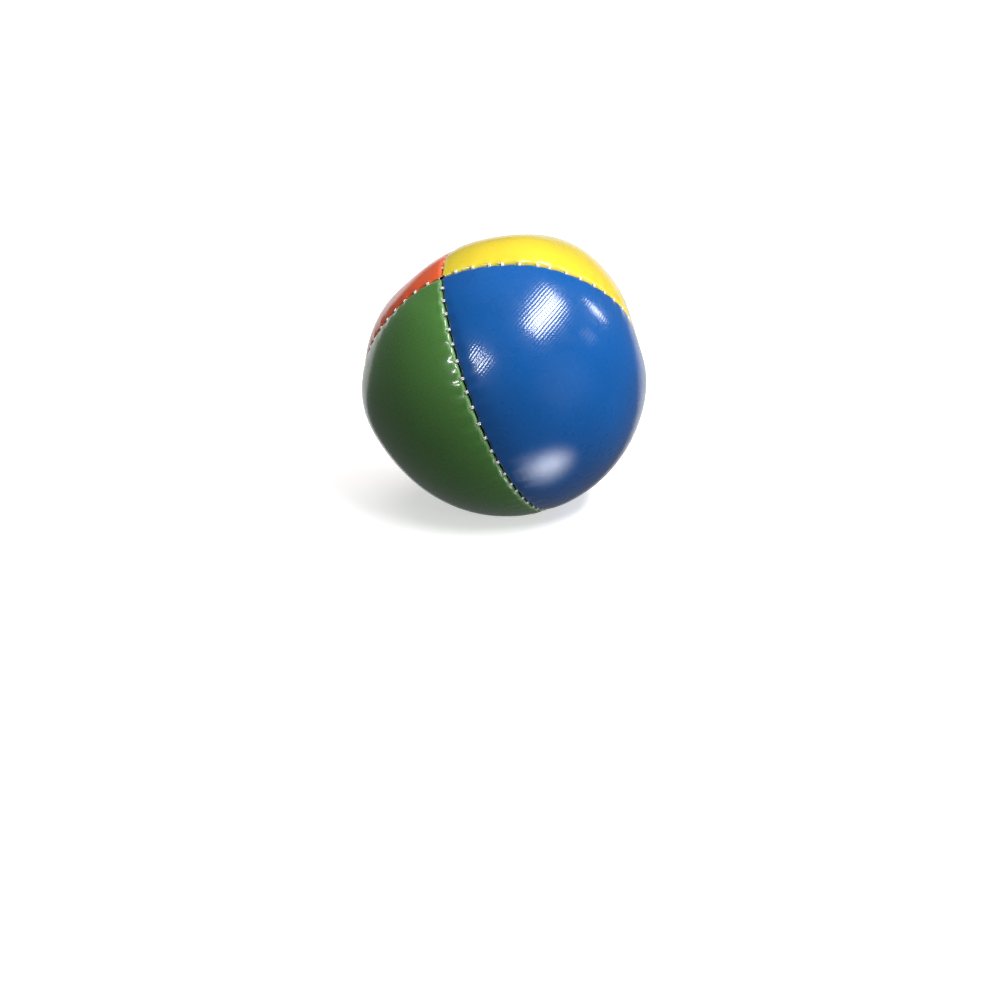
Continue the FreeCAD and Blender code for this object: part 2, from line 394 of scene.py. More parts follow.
def panel_object(panel, name):
    """One leaf as a closed mesh: outer face, inner face and the four cut edges between them."""
    outer, cloth, distance = panel_face(panel)
    rows, columns = outer.shape[:2]
    theta = np.linspace(TIP_ANGLE, math.pi - TIP_ANGLE, rows)
    pressed = (PRESSED * roll_radius(theta))[:, None]
    fullness = np.clip((distance - 1) / 2, 0, 1)
    thickness = pressed + (CLOTH - pressed) * fullness
    inner = outer - grid_normals(outer) * thickness[..., None]
    count = rows * columns
    index = np.arange(count).reshape(rows, columns)

    def quads(a, b, c, d):
        return np.stack((a.ravel(), b.ravel(), c.ravel(), d.ravel()), axis=1)

    face = quads(index[:-1, :-1], index[1:, :-1], index[1:, 1:], index[:-1, 1:])
    back = face[:, ::-1] + count
    rim = np.concatenate((index[:-1, 0], index[-1, :-1], index[:0:-1, -1], index[0, :0:-1]))
    after = np.roll(rim, -1)
    edge = quads(after, rim, rim + count, after + count)
    faces = np.vstack((face, back, edge))
    points = np.vstack((outer.reshape(-1, 3), inner.reshape(-1, 3)))
    made = new_object(name, to_row(points), faces.tolist())
    mesh = made.data
    mesh.shade_smooth()
    corner = np.empty(len(mesh.loops), dtype=np.int32)
    mesh.loops.foreach_get("vertex_index", corner)
    both = np.vstack((cloth.reshape(-1, 2), cloth.reshape(-1, 2)))
    mesh.uv_layers.new(name="cloth").data.foreach_set("uv", both[corner].ravel())
    layer = mesh.attributes.new("seam_distance", "FLOAT", "POINT")
    layer.data.foreach_set("value", np.tile(distance.ravel(), 2))
    backing = np.zeros(len(faces), dtype=np.int32)
    backing[len(face):] = 1
    mesh.polygons.foreach_set("material_index", backing)
    return made


def linear(hex_colour):
    """An sRGB hex colour as linear red, green, blue and alpha."""
    values = [int(hex_colour[i:i + 2], 16) / 255 for i in (1, 3, 5)]
    return [v / 12.92 if v <= 0.04045 else ((v + 0.055) / 1.055) ** 2.4 for v in values] + [1.0]


def add(tree, kind, settings=None, inputs=None):
    """Adds a node to a tree, sets its properties, and fills its inputs with values or links."""
    node = tree.nodes.new(kind)
    for name, value in (settings or {}).items():
        setattr(node, name, value)
    for name, value in (inputs or {}).items():
        if isinstance(value, bpy.types.NodeSocket):
            tree.links.new(value, node.inputs[name])
        else:
            node.inputs[name].default_value = value
    return node


def new_material(name):
    material = bpy.data.materials.new(name)
    material.use_nodes = True
    material.node_tree.nodes.clear()
    return material, material.node_tree


def noise_scale(size):
    """The scale of a noise on Object coordinates whose patches are about so many millimetres."""
    return 1 / (size * MM)


def coated_cloth(name, colour, rim):
    """Glossy PVC calendered onto a plain weave: deep even colour, and ribs that break up the gloss."""
    patch, blotch, scuff = 25 / 3, 40 / 3, 2.5    # millimetres across
    material, tree = new_material(name)
    millimetres = add(tree, "ShaderNodeVectorMath", {"operation": "SCALE"}, {
        0: add(tree, "ShaderNodeUVMap", {"uv_map": "cloth"}).outputs[0], "Scale": UV_UNIT})
    place = add(tree, "ShaderNodeTexCoord").outputs["Object"]
    # the threads wander a little, and are slacker in some patches than in others
    drift = add(tree, "ShaderNodeTexNoise", None, {
        "Vector": place, "Scale": noise_scale(patch), "Detail": 1})
    drifted = add(tree, "ShaderNodeVectorMath", {"operation": "MULTIPLY_ADD"}, {
        0: drift.outputs["Color"], 1: (0.5, 0.5, 0), 2: millimetres.outputs[0]})
    axes = add(tree, "ShaderNodeSeparateXYZ", None, {0: drifted.outputs[0]})
    waves = []
    for axis in (0, 1):
        turns = add(tree, "ShaderNodeMath", {"operation": "MULTIPLY"}, {
            0: axes.outputs[axis], 1: 2 * math.pi / WEAVE_PITCH})
        waves.append(add(tree, "ShaderNodeMath", {"operation": "SINE"}, {0: turns.outputs[0]}).outputs[0])
    crossing = add(tree, "ShaderNodeMath", {"operation": "MULTIPLY"}, {0: waves[0], 1: waves[1]})
    weave = add(tree, "ShaderNodeMath", {"operation": "MULTIPLY_ADD"}, {
        0: crossing.outputs[0], 1: 0.35, 2: waves[1]})
    slack = add(tree, "ShaderNodeTexNoise", None, {
        "Vector": place, "Scale": noise_scale(patch), "Detail": 3})
    worn = add(tree, "ShaderNodeMapRange", None, {
        "Value": slack.outputs["Fac"], "From Min": 0.3, "From Max": 0.7, "To Min": 0.6, "To Max": 1.25})
    distance = add(tree, "ShaderNodeAttribute", {"attribute_name": "seam_distance"})
    inland = add(tree, "ShaderNodeMapRange", {"interpolation_type": "SMOOTHSTEP"}, {
        "Value": distance.outputs["Fac"], "From Min": 0.8, "From Max": 4.0})
    shown = add(tree, "ShaderNodeMath", {"operation": "MULTIPLY"}, {
        0: worn.outputs[0], 1: inland.outputs[0]})
    relief = add(tree, "ShaderNodeMath", {"operation": "MULTIPLY"}, {
        0: weave.outputs[0], 1: shown.outputs[0]})
    # the seeds under the cloth give faint lumps, and the weave shows more in the gloss than below it
    seeds = add(tree, "ShaderNodeTexNoise", None, {
        "Vector": place, "Scale": noise_scale(patch), "Detail": 0})
    lumps = add(tree, "ShaderNodeBump", None, {
        "Height": seeds.outputs["Fac"], "Strength": 1.0, "Distance": 0.04 * MM})
    bump = add(tree, "ShaderNodeBump", None, {
        "Height": relief.outputs[0], "Strength": 1.0, "Distance": 0.0065 * MM,
        "Normal": lumps.outputs["Normal"]})
    soft_bump = add(tree, "ShaderNodeBump", None, {
        "Height": relief.outputs[0], "Strength": 1.0, "Distance": 0.003 * MM,
        "Normal": lumps.outputs["Normal"]})
    # the colour drifts a little, is darkened down in the seams as painted shade, and pales at the rolled
    # edge, partly from strain and partly as a painted highlight
    blotches = add(tree, "ShaderNodeTexNoise", None, {
        "Vector": place, "Scale": noise_scale(blotch), "Detail": 1, "Roughness": 0.5})
    shade = add(tree, "ShaderNodeMapRange", None, {
        "Value": blotches.outputs["Fac"], "From Min": 0.25, "From Max": 0.75,
        "To Min": 0.93, "To Max": 1.07})
    # painted shade: down inside the seams, where the groove lies in shadow, the colour is darkened to half
    painted_seam_shade = add(tree, "ShaderNodeMapRange", None, {
        "Value": distance.outputs["Fac"], "From Min": -1.5, "From Max": 0.1, "To Min": 0.5, "To Max": 1.0})
    value = add(tree, "ShaderNodeMath", {"operation": "MULTIPLY"}, {
        0: shade.outputs[0], 1: painted_seam_shade.outputs[0]})
    plain = add(tree, "ShaderNodeHueSaturation", None, {"Color": linear(colour), "Value": value.outputs[0]})
    # painted highlight: a pale band along the rolled edge, partly the strained coat and partly standing in
    # for the light caught on the roll; it is strongest on the green
    onto_roll = add(tree, "ShaderNodeMapRange", {"interpolation_type": "SMOOTHSTEP"}, {
        "Value": distance.outputs["Fac"], "From Min": 0.05, "From Max": 0.4})
    off_roll = add(tree, "ShaderNodeMapRange", {"interpolation_type": "SMOOTHSTEP"}, {
        "Value": distance.outputs["Fac"], "From Min": 0.75, "From Max": 1.1, "To Min": rim, "To Max": 0})
    strained_and_lit_edge = add(tree, "ShaderNodeMath", {"operation": "MULTIPLY"}, {
        0: onto_roll.outputs[0], 1: off_roll.outputs[0]})
    patches = add(tree, "ShaderNodeMapRange", None, {
        "Value": slack.outputs["Fac"], "From Min": 0.35, "From Max": 0.6, "To Min": 0.35, "To Max": 1.0})
    edge_paling_and_highlight = add(tree, "ShaderNodeMath", {"operation": "MULTIPLY"}, {
        0: strained_and_lit_edge.outputs[0], 1: patches.outputs[0]})
    pale_lit_edge_colour = [min(0.15 + 1.3 * channel, 0.9) for channel in linear(colour)[:3]] + [1.0]
    base = add(tree, "ShaderNodeMix", {"data_type": "RGBA"}, {
        0: edge_paling_and_highlight.outputs[0], 6: plain.outputs[0], 7: pale_lit_edge_colour})
    scuffs = add(tree, "ShaderNodeTexNoise", None, {
        "Vector": place, "Scale": noise_scale(scuff), "Detail": 1, "Roughness": 0.5})
    rough = add(tree, "ShaderNodeMapRange", None, {
        "Value": scuffs.outputs["Fac"], "From Min": 0.35, "From Max": 0.7, "To Min": 0.26, "To Max": 0.33})
    shader = add(tree, "ShaderNodeBsdfPrincipled", None, {
        "Base Color": base.outputs[2], "Roughness": rough.outputs[0],
        "Normal": soft_bump.outputs["Normal"], "IOR": 1.5, "Specular IOR Level": 0.28, "Coat Weight": 1.0,
        "Coat Roughness": 0.12, "Coat IOR": 1.5, "Coat Normal": bump.outputs["Normal"]})
    add(tree, "ShaderNodeOutputMaterial", None, {"Surface": shader.outputs[0]})
    return material


def bare_weave():
    """The uncoated wrong side: dull off-white polyester weave, shown only inside the ball."""
    material, tree = new_material("woven_polyester_backing")
    cloth = add(tree, "ShaderNodeUVMap", {"uv_map": "cloth"})
    weave = add(tree, "ShaderNodeTexChecker", None, {
        "Vector": cloth.outputs[0], "Scale": UV_UNIT / WEAVE_PITCH,
        "Color1": linear("#d8d4c8"), "Color2": linear("#bdb8aa")})
    bump = add(tree, "ShaderNodeBump", None, {"Height": weave.outputs["Fac"], "Distance": 0.04 * MM})
    shader = add(tree, "ShaderNodeBsdfPrincipled", None, {
        "Base Color": weave.outputs["Color"], "Roughness": 0.85, "Normal": bump.outputs["Normal"],
        "Sheen Weight": 0.3})
    add(tree, "ShaderNodeOutputMaterial", None, {"Surface": shader.outputs[0]})
    return material


backing = bare_weave()
for number, (name, slot, colour, rim) in enumerate(PANELS):
    leaf = panel_object(number, name + "_cloth")
    leaf.data.materials.append(coated_cloth("pvc_coated_weave_" + name[6:], colour, rim))
    leaf.data.materials.append(backing)
    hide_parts(name)
    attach(leaf, "root")


# ---- The machine threads ----
# Bonded polyester thread, pale cream. The needle thread crosses the seam at every stitch, doubled
# round the bobbin thread, and the stuffing pulls each crossing up into view between the two edges.
# The bobbin thread lies inside, along the other panel.
THREAD = 0.29
# for each point on a stitch, its distance from the seam's middle and its depth below the cover
RUNG_REACH, RUNG_DEPTH = 0.40, 0.2        # where the thread goes down between the rolled edges
CROSSING_DEPTH = -0.04                    # where it crosses the seam in sight
BEND_REACH, BEND_DEPTH = 1.25, 1.2        # inside the first panel, on the way to the next stitch
LOCK_REACH, LOCK_DEPTH = 1.15, 1.0        # inside the second panel, round the bobbin thread
# where its run to the next stitch starts: the shift along the seam in stitches, distance and depth
NEEDLE_RUN = (0.42, 1.7, 1.9)
BOBBIN_RUN = (0.3, 1.75, 2.0)
BOBBIN_LOCK_DEPTH = 1.25
POLE_DEPTH = 2.6          # how deep a thread passes under a pole
STRAND_SPACE = 0.15       # half of the distance between the two strands of a crossing
LOCK_SQUEEZE = 0.6        # how much closer they are at the lock
LEAN = 0.35               # how much a loose or tight stitch slants, as a share of that
PLY_TWIST = 1.5           # the length of one turn
PLY_SWELL = 0.14          # how far the plies stand out, as a share of the thread's radius
THREAD_STEP = 0.14


def seam_point(seam, theta, away, depth):
    """A point beside a seam, away from its plane towards the next panel, at a depth below the cover."""
    panel = seam % 4 if away >= 0 else (seam - 1) % 4
    phi = seam * math.pi / 2
    turn = math.asin(max(-0.6, min(0.6, away / (RADIUS * max(math.sin(theta), 0.02)))))
    beside = phi + turn if away >= 0 or seam else phi + turn + 2 * math.pi
    edge = float(half_gap(seam, theta) + roll_radius(theta))
    where = np.array(float(beside)), np.array(float(theta))
    radius = float(stuffed_radius(panel, where[1], where[0]))
    radius += float(seam_relief(seam, theta, max(abs(away), edge)))
    return direction(np.array(theta), np.array(beside)) * (radius - depth)


def ring_angle(ring_stitch):
    """The seam half and angle from the upper pole, for a stitch counted round the whole ring."""
    ring_stitch %= 2 * STITCHES
    if ring_stitch <= STITCHES:
        return 0, ring_stitch
    return 2, 2 * STITCHES - ring_stitch


def stitch_place(first_seam, ring_stitch, shift):
    """The seam and the angle of a stitch, moved along the ring by a share of a stitch."""
    half, local = ring_angle(ring_stitch)
    seam = (first_seam + half) % 4
    forward = 1 if half == 0 else -1
    whole = np.interp(local, np.arange(STITCHES + 1), stitch_angle[seam])
    return seam, whole + forward * shift * STITCH_PITCH, forward


def thread_path(first_seam, first, last, needle):
    """Points along one thread of a lockstitched ring, from its first stitch to its last."""
    points = []
    for ring_stitch in range(first, last + 1):
        at_pole = ring_stitch % STITCHES == 0
        strand = STRAND_SPACE / (RADIUS * STITCH_PITCH)
        if at_pole:
            seam, theta, forward = stitch_place(first_seam, ring_stitch, 0)
            beside_pole = theta + 0.02 * forward * (1 if theta < 1 else -1)
            points.append(seam_point(seam, beside_pole, 0.4, POLE_DEPTH))
            continue
        if needle:
            seam, theta, forward = stitch_place(first_seam, ring_stitch, 0)
            strength = float(pull(seam, theta))
            reach = RUNG_REACH * (1.7 - 0.7 * strength)
            lean = LEAN * strand * (strength - 1)
            run, run_reach, run_depth = NEEDLE_RUN
            route = [
                (-run, -run_reach, run_depth),
                (-strand, -BEND_REACH, BEND_DEPTH),
                (-strand - lean, -reach, RUNG_DEPTH),
                (-strand, 0, CROSSING_DEPTH),
                (-strand + lean, reach, RUNG_DEPTH),
                (-strand * LOCK_SQUEEZE, LOCK_REACH, LOCK_DEPTH),
                (strand * LOCK_SQUEEZE, LOCK_REACH, LOCK_DEPTH),
                (strand + lean, reach, RUNG_DEPTH),
                (strand, 0, CROSSING_DEPTH),
                (strand - lean, -reach, RUNG_DEPTH),
                (strand, -BEND_REACH, BEND_DEPTH),
                (run, -run_reach, run_depth),
            ]
        else:
            run, run_reach, run_depth = BOBBIN_RUN
            route = [
                (-run, run_reach, run_depth),
                (0, LOCK_REACH + THREAD, BOBBIN_LOCK_DEPTH),
                (run, run_reach, run_depth),
            ]
        for shift, away, depth in route:
            seam, theta, forward = stitch_place(first_seam, ring_stitch, shift)
            points.append(seam_point(seam, theta, away * forward, depth + SEAM_TUCK[seam]))
    return np.array(points)


def start_tree(name, named):
    """A new geometry nodes tree with these named inputs, and the sockets that give them."""
    tree = bpy.data.node_groups.new(name, "GeometryNodeTree")
    tree.interface.new_socket("Geometry", in_out="OUTPUT", socket_type="NodeSocketGeometry")
    for label, kind in named.items():
        tree.interface.new_socket(label, in_out="INPUT", socket_type="NodeSocket" + kind)
    return tree, tree.nodes.new("NodeGroupInput").outputs


def end_tree(tree, result, material):
    """Shades a tree's result smooth, makes its instances real and gives it its material."""
    shaded = add(tree, "GeometryNodeSetShadeSmooth", None, {0: result})
    real = add(tree, "GeometryNodeRealizeInstances", None, {0: shaded.outputs[0]})
    finish = add(tree, "GeometryNodeSetMaterial", None, {0: real.outputs[0], "Material": material})
    add(tree, "NodeGroupOutput", None, {0: finish.outputs[0]})


def twisted_thread_nodes():
    """Geometry nodes that sweep a three-ply twisted thread along a chain of points."""
    tree, given = start_tree("twisted_thread", {
        "Route": "Geometry", "Diameter": "Float", "Turn Length": "Float", "Step": "Float",
        "Material": "Material"})
    line = add(tree, "GeometryNodeMeshToCurve", None, {0: given["Route"]})
    smooth = add(tree, "GeometryNodeCurveSplineType", {"spline_type": "CATMULL_ROM"}, {
        "Curve": line.outputs[0]})
    fine = add(tree, "GeometryNodeSetSplineResolution", None, {0: smooth.outputs[0], "Resolution": 8})
    even = add(tree, "GeometryNodeResampleCurve", {"mode": "LENGTH"}, {
        "Curve": fine.outputs[0], "Length": given["Step"]})
    length = add(tree, "GeometryNodeSplineParameter").outputs["Length"]
    turns = add(tree, "ShaderNodeMath", {"operation": "DIVIDE"}, {0: length, 1: given["Turn Length"]})
    tilt = add(tree, "ShaderNodeMath", {"operation": "MULTIPLY"}, {0: turns.outputs[0], 1: 2 * math.pi})
    twisted = add(tree, "GeometryNodeSetCurveTilt", None, {0: even.outputs[0], "Tilt": tilt.outputs[0]})
    radius = add(tree, "ShaderNodeMath", {"operation": "MULTIPLY"}, {0: given["Diameter"], 1: 0.5})
    # three lobes on the section stand for the plies
    circle = add(tree, "GeometryNodeCurvePrimitiveCircle", None, {
        "Resolution": 9, "Radius": radius.outputs[0]})
    lobe = add(tree, "ShaderNodeMath", {"operation": "MULTIPLY"}, {
        0: add(tree, "GeometryNodeInputIndex").outputs[0], 1: 2 * math.pi / 3})
    wave = add(tree, "ShaderNodeMath", {"operation": "COSINE"}, {0: lobe.outputs[0]})
    swell = add(tree, "ShaderNodeMath", {"operation": "MULTIPLY_ADD"}, {
        0: wave.outputs[0], 1: PLY_SWELL, 2: 1.0})
    plied = add(tree, "ShaderNodeVectorMath", {"operation": "SCALE"}, {
        0: add(tree, "GeometryNodeInputPosition").outputs[0], "Scale": swell.outputs[0]})
    section = add(tree, "GeometryNodeSetPosition", None, {
        0: circle.outputs[0], "Position": plied.outputs[0]})
    solid = add(tree, "GeometryNodeCurveToMesh", None, {
        "Curve": twisted.outputs[0], "Profile Curve": section.outputs[0], "Fill Caps": True})
    end_tree(tree, solid.outputs[0], given["Material"])
    return tree


def grow(source, tree, values):
    """Runs geometry nodes on an object and leaves their result as its plain mesh."""
    modifier = source.modifiers.new("grow", "NODES")
    modifier.node_group = tree
    for item in tree.interface.items_tree:
        if item.in_out == "INPUT" and item.name in values:
            modifier[item.identifier] = values[item.name]
    graph = bpy.context.evaluated_depsgraph_get()
    grown = bpy.data.meshes.new_from_object(source.evaluated_get(graph), depsgraph=graph)
    source.modifiers.clear()
    source.data = grown
    return source


def bonded_thread():
    """Twisted bonded polyester sewing thread: pale cream, a soft waxy shine, faint fibres."""
    fibre = 1 / 9    # millimetres across
    material, tree = new_material("bonded_polyester_thread")
    place = add(tree, "ShaderNodeTexCoord").outputs["Object"]
    fibres = add(tree, "ShaderNodeTexNoise", None, {
        "Vector": place, "Scale": noise_scale(fibre), "Detail": 3})
    tone = add(tree, "ShaderNodeMix", {"data_type": "RGBA"}, {
        0: fibres.outputs["Fac"], 6: linear("#f3eedc"), 7: linear("#fffef8")})
    bump = add(tree, "ShaderNodeBump", None, {"Height": fibres.outputs["Fac"], "Distance": 0.02 * MM})
    shader = add(tree, "ShaderNodeBsdfPrincipled", None, {
        "Base Color": tone.outputs[2], "Roughness": 0.45, "Normal": bump.outputs["Normal"],
        "Sheen Weight": 0.25, "Specular IOR Level": 0.5})
    add(tree, "ShaderNodeOutputMaterial", None, {"Surface": shader.outputs[0]})
    return material


thread_nodes = twisted_thread_nodes()
thread_material = bonded_thread()


def sewn_thread(name, points, diameter):
    """One thread piece, swept along its points, in place of the CAD node of the same name."""
    route = new_object(name + "_ply", to_row(points), [], [(i, i + 1) for i in range(len(points) - 1)])
    made = grow(route, thread_nodes, {"Diameter": diameter * MM, "Turn Length": PLY_TWIST * MM,
                                      "Step": THREAD_STEP * MM, "Material": thread_material})
    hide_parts(name)
    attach(made, "root")


# Stitches are counted round the ring of two seams, down one and up the other. The opening's are
# left out of the machine seam. Each machine thread has its first seam, first stitch and last.
OPENING_FIRST, OPENING_LAST = 42, 51
MACHINE_SEAMS = {
    "blue_yellow": (1, 1, STITCHES - 1),
    "red_green": (1, STITCHES + 1, 2 * STITCHES - 1),
    "halves": (0, OPENING_LAST + 1, OPENING_FIRST - 1 + 2 * STITCHES),
}
for seam_name, (first_seam, first, last) in MACHINE_SEAMS.items():
    for kind, needle in (("needle", True), ("bobbin", False)):
        path = thread_path(first_seam, first, last, needle)
        sewn_thread(kind + "_thread_" + seam_name, path, THREAD)


# ---- The hand-sewn closing ----
# The filling went in through a gap in the yellow and red seam. It is closed with a ladder stitch
# in a thicker single thread: a rung over the seam at each hole, and the thread hidden in the fold
# between, with both ends left inside.
HAND_THREAD = 0.42
# a rung's points: the shift along the seam in stitches, the distance from its middle, and the depth
LADDER_RUNG = [
    (-0.3, 1.6, 1.7),
    (0, 1.2, 1.0),
    (0, 0.6, 0.28),
    (0, 0, 0.02),
    (0, -0.6, 0.28),
    (0, -1.2, 1.0),
    (0.3, -1.6, 1.7),
]
hand_path = []
side = 1
for ring_stitch in range(OPENING_FIRST, OPENING_LAST + 1):
    for shift, away, depth in LADDER_RUNG:
        seam, theta, forward = stitch_place(0, ring_stitch, shift)
        hand_path.append(seam_point(seam, theta, side * away * forward, depth))
    side = -side
sewn_thread("closing_thread", np.array(hand_path), HAND_THREAD)


# ---- The filling ----
# About 100 g of millet: small round seeds, packed hard. One closed core stands for the bulk, and
# a layer of whole seeds lies on it, clear of the standing seam layers.
SEED = 1.7
SEED_SPACING = 1.75
SEED_SPACE = 0.6          # between the cloth and the seeds
GROOVE_HALF_WIDTH = 2.9   # the bulk is drawn in this far to each side of a seam
GROOVE_SLOPE = 1.2
GROOVE_SPACE = 2.5        # between the seam layers and the seeds
CORE_ROWS, CORE_COLUMNS = 90, 180


def core_radius(outward):
    """The bulk's radius: just under the seeds, and drawn in beside each seam."""
    theta = np.arccos(np.clip(outward[..., 2], -1, 1))
    phi = np.mod(np.arctan2(outward[..., 1], outward[..., 0]), 2 * math.pi)
    under = np.zeros(theta.shape)
    for panel in range(4):
        mine = np.floor(phi / (math.pi / 2)).astype(int) % 4 == panel
        under[mine] = stuffed_radius(panel, theta[mine], phi[mine])
    under -= CLOTH + SEED_SPACE + SEED
    to_seam = np.minimum(np.abs(outward[..., 0]), np.abs(outward[..., 1])) * RADIUS
    open_share = np.clip((to_seam - GROOVE_HALF_WIDTH) / GROOVE_SLOPE, 0, 1)
    open_share = open_share * open_share * (3 - 2 * open_share)
    groove_floor = RADIUS - SEAM_ALLOWANCE - GROOVE_SPACE - SEED
    return groove_floor * (1 - open_share) + under * open_share


def core_object():
    theta = np.linspace(0, math.pi, CORE_ROWS + 1)[1:-1]
    phi = np.arange(CORE_COLUMNS) * 2 * math.pi / CORE_COLUMNS
    outward = direction(*np.meshgrid(theta, phi, indexing="ij")).reshape(-1, 3)
    outward = np.vstack((outward, [[0, 0, 1], [0, 0, -1]]))
    points = outward * core_radius(outward)[:, None]
    top, bottom = len(points) - 2, len(points) - 1
    faces = []
    for column in range(CORE_COLUMNS):
        beside = (column + 1) % CORE_COLUMNS
        faces.append((top, column, beside))
        for row in range(CORE_ROWS - 2):
            upper, lower = row * CORE_COLUMNS, (row + 1) * CORE_COLUMNS
            faces.append((upper + column, lower + column, lower + beside, upper + beside))
        last_row = (CORE_ROWS - 2) * CORE_COLUMNS
        faces.append((bottom, last_row + beside, last_row + column))
    return new_object("millet_bulk", to_row(points), faces)


def seed_object():
    """One millet seed, of length 1: a slightly flattened ball of a few dozen faces, with a blunt point."""
    rings, around = 5, 7
    flatness, point = 0.46, 0.56
    points = [(0, 0, 0.5)]
    for ring in range(1, rings):
        angle = math.pi * ring / rings
        for column in range(around):
            turn = 2 * math.pi * column / around
            points.append((
                0.5 * math.sin(angle) * math.cos(turn),
                flatness * math.sin(angle) * math.sin(turn),
                0.5 * math.cos(angle),
            ))
    points.append((0, 0, -point))
    last = len(points) - 1
    faces = []
    for column in range(around):
        beside = (column + 1) % around
        faces.append((0, 1 + column, 1 + beside))
        for ring in range(rings - 2):
            upper, lower = 1 + ring * around, 1 + (ring + 1) * around
            faces.append((upper + column, lower + column, lower + beside, upper + beside))
        under = 1 + (rings - 2) * around
        faces.append((under + column, last, under + beside))
    return new_object("millet_seed", np.array(points), faces)


def seed_layer_nodes():
    """Geometry nodes that lay seeds over a surface, evenly and turned at random, and keep the surface."""
    tree, given = start_tree("seed_layer", {
        "Bulk": "Geometry", "Seed Shape": "Object", "Seed Size": "Float", "Spacing": "Float",
        "Random Seed": "Int", "Material": "Material"})
    spots = add(tree, "GeometryNodeDistributePointsOnFaces", {"distribute_method": "POISSON"}, {
        "Mesh": given["Bulk"], "Distance Min": given["Spacing"], "Density Max": 1e6,
        "Seed": given["Random Seed"]})
    shape = add(tree, "GeometryNodeObjectInfo", None, {"Object": given["Seed Shape"]})
    turn = add(tree, "FunctionNodeRandomValue", {"data_type": "FLOAT_VECTOR"}, {
        0: (0, 0, 0), 1: (math.tau, math.tau, math.tau), "Seed": given["Random Seed"]})
    size = add(tree, "FunctionNodeRandomValue", {"data_type": "FLOAT"}, {
        2: 0.86, 3: 1.08, "Seed": given["Random Seed"]})
    scale = add(tree, "ShaderNodeMath", {"operation": "MULTIPLY"}, {
        0: size.outputs[1], 1: given["Seed Size"]})
    seeds = add(tree, "GeometryNodeInstanceOnPoints", None, {
        "Points": spots.outputs["Points"], "Instance": shape.outputs["Geometry"],
        "Rotation": turn.outputs[0], "Scale": scale.outputs[0]})
    both = tree.nodes.new("GeometryNodeJoinGeometry")
    tree.links.new(seeds.outputs[0], both.inputs[0])
    tree.links.new(given["Bulk"], both.inputs[0])
    end_tree(tree, both.outputs[0], given["Material"])
    return tree


def millet():
    """Hulled, polished millet: straw yellow, each seed a little lighter or darker, a faint shine."""
    material, tree = new_material("hulled_millet_seed")
    place = add(tree, "ShaderNodeTexCoord").outputs["Object"]
    tones = add(tree, "ShaderNodeTexVoronoi", None, {"Vector": place, "Scale": noise_scale(SEED)})
    grey = add(tree, "ShaderNodeSeparateColor", None, {0: tones.outputs["Color"]})
    colour = add(tree, "ShaderNodeMix", {"data_type": "RGBA"}, {
        0: grey.outputs[0], 6: linear("#c79a4a"), 7: linear("#ecd08a")})
    specks = add(tree, "ShaderNodeTexNoise", None, {
        "Vector": place, "Scale": noise_scale(0.25), "Detail": 3})
    bump = add(tree, "ShaderNodeBump", None, {"Height": specks.outputs["Fac"], "Distance": 0.03 * MM})
    shader = add(tree, "ShaderNodeBsdfPrincipled", None, {
        "Base Color": colour.outputs[2], "Roughness": 0.5, "Normal": bump.outputs["Normal"]})
    add(tree, "ShaderNodeOutputMaterial", None, {"Surface": shader.outputs[0]})
    return material


seed_shape = seed_object()
filling = grow(core_object(), seed_layer_nodes(), {
    "Seed Shape": seed_shape, "Seed Size": SEED * MM, "Spacing": SEED_SPACING * MM,
    "Random Seed": 3, "Material": millet()})
bpy.data.objects.remove(seed_shape)
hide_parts("filling")
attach(filling, "root")


# ---- Floor, lights and camera ----
# White studio paper that lies flat and curves up all round, soft boxes about the ball, and a camera
# in front and a little above. Lengths here are in metres.
FLOOR_RADIUS, WALL_RADIUS, WALL_HEIGHT = 1.6, 2.2, 1.4


def sweep_floor():
    steps = [(radius, 0.0) for radius in (0.1, 0.4, 0.9, FLOOR_RADIUS)]
    bend = WALL_RADIUS - FLOOR_RADIUS
    bend_steps = 8
    for step in range(1, bend_steps + 1):
        angle = math.pi / 2 * step / bend_steps
        steps.append((FLOOR_RADIUS + bend * math.sin(angle), bend * (1 - math.cos(angle))))
    steps.append((WALL_RADIUS, WALL_HEIGHT))
    around = 64
    points = [(0, 0, 0)]
    for radius, height in steps:
        for column in range(around):
            turn = 2 * math.pi * column / around
            points.append((radius * math.cos(turn), radius * math.sin(turn), height))
    faces = [(0, 1 + c, 1 + (c + 1) % around) for c in range(around)]
    for ring in range(len(steps) - 1):
        inner, outer = 1 + ring * around, 1 + (ring + 1) * around
        for c in range(around):
            faces.append((inner + c, outer + c, outer + (c + 1) % around, inner + (c + 1) % around))
    return new_object("floor", np.array(points), faces)


# the paper glows a little, and more so further off, so that it is white behind the ball
floor = sweep_floor()
floor.data.shade_smooth()
paper, paper_tree = new_material("white_studio_paper")
paper_place = add(paper_tree, "ShaderNodeTexCoord").outputs["Object"]
paper_reach = add(paper_tree, "ShaderNodeVectorMath", {"operation": "LENGTH"}, {0: paper_place})
paper_glow = add(paper_tree, "ShaderNodeMapRange", None, {
    "Value": paper_reach.outputs["Value"], "From Min": 0.1, "From Max": 0.9, "To Min": 0.55, "To Max": 1.1})
paper_shader = add(paper_tree, "ShaderNodeBsdfPrincipled", None, {
    "Base Color": linear("#f4f4f2"), "Roughness": 0.9, "Specular IOR Level": 0.1,
    "Emission Color": linear("#ffffff"), "Emission Strength": paper_glow.outputs[0]})
add(paper_tree, "ShaderNodeOutputMaterial", None, {"Surface": paper_shader.outputs[0]})
floor.data.materials.append(paper)
floor.visible_glossy = False
floor.visible_diffuse = False

ball_centre = Vector((0, 0, CENTRE_HEIGHT * MM))


